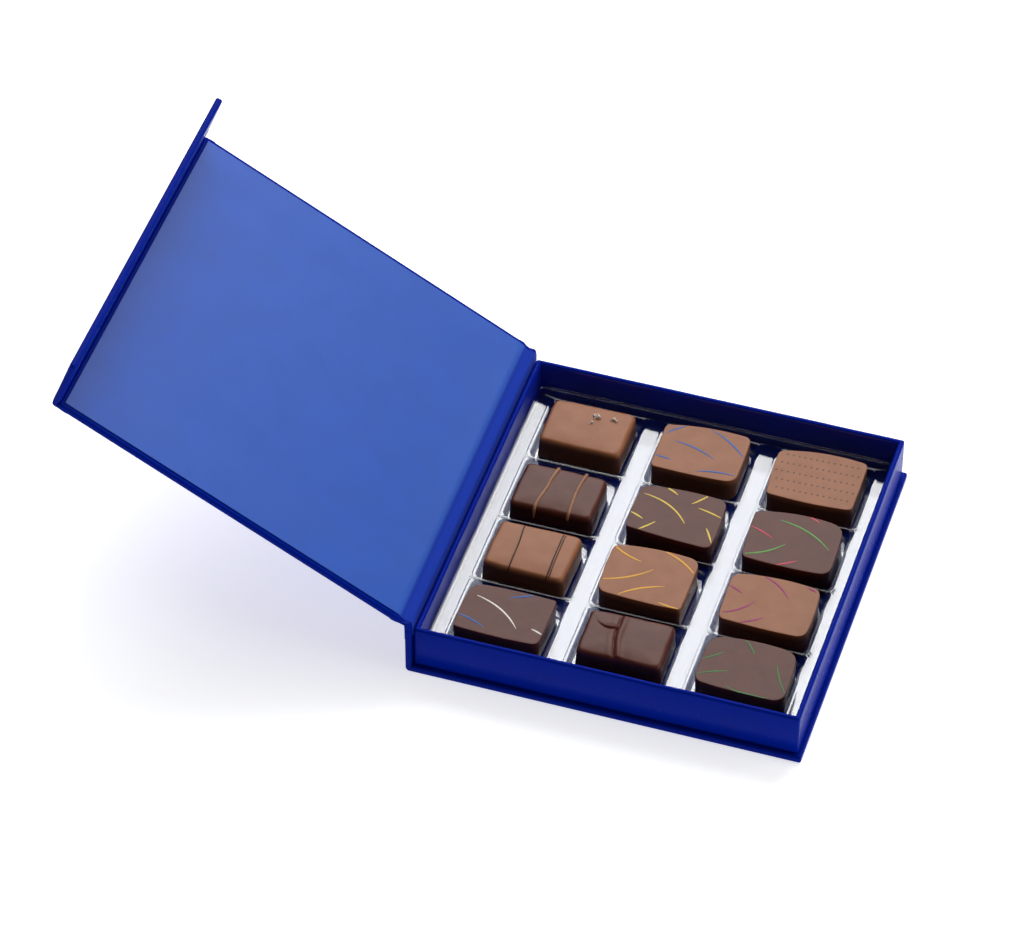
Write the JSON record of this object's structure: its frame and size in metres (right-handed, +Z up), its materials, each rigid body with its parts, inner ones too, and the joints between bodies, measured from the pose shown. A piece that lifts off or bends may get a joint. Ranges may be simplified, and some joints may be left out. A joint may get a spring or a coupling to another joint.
{
  "type": "box of chocolate pralines",
  "caption": "Open book-style gift box in glossy blue paper with a clear insert that holds rows of coated chocolate pralines; the lid and its front flap fold on paper hinges.",
  "frame": {"origin": "middle of the base board's underside, on the table", "axes": "+Z up, +X from the hinge side to the opening side, +Y along the hinge towards the back"},
  "size_m": [0.2629, 0.142, 0.1107],
  "materials": {
    "blue_paper": "royal blue film-laminated paper over board, satin gloss",
    "liner_paper": "lighter looking glossy blue lining sheet",
    "clear_plastic": "clear thermoformed sheet, thin and glossy",
    "milk_chocolate": "tempered milk chocolate, satin",
    "dark_chocolate": "tempered dark chocolate, satin"
  },
  "bodies": {
    "box": {"base_board": "blue_paper", "spine_board": "blue_paper", "tray_floor": "blue_paper", "wall_left": "blue_paper", "wall_right": "blue_paper", "wall_front": "blue_paper", "wall_back": "blue_paper", "clear_insert": "clear_plastic", "praline_r1_c1": "milk_chocolate", "praline_r1_c2": "milk_chocolate", "praline_r1_c3": "milk_chocolate", "praline_r2_c1": "dark_chocolate", "praline_r2_c2": "dark_chocolate", "praline_r2_c3": "dark_chocolate", "praline_r3_c1": "milk_chocolate", "praline_r3_c2": "milk_chocolate", "praline_r3_c3": "milk_chocolate", "praline_r4_c1": "dark_chocolate", "praline_r4_c2": "dark_chocolate", "praline_r4_c3": "dark_chocolate"},
    "lid": {"lid_board": "blue_paper", "lid_liner": "liner_paper"},
    "flap": {"flap_board": "blue_paper"}
  },
  "joints": [
    {"name": "lid_hinge", "type": "hinge", "parent": "box", "child": "lid", "pos_m": [-0.06905, 0, 0.02187], "axis": [0, -1, 0], "range_deg": [-150.7, 36]},
    {"name": "flap_hinge", "type": "hinge", "parent": "lid", "child": "flap", "pos_m": [-0.19208, 0, 0.09065], "axis": [0, 1, 0], "range_deg": [-82, 8]}
  ]
}
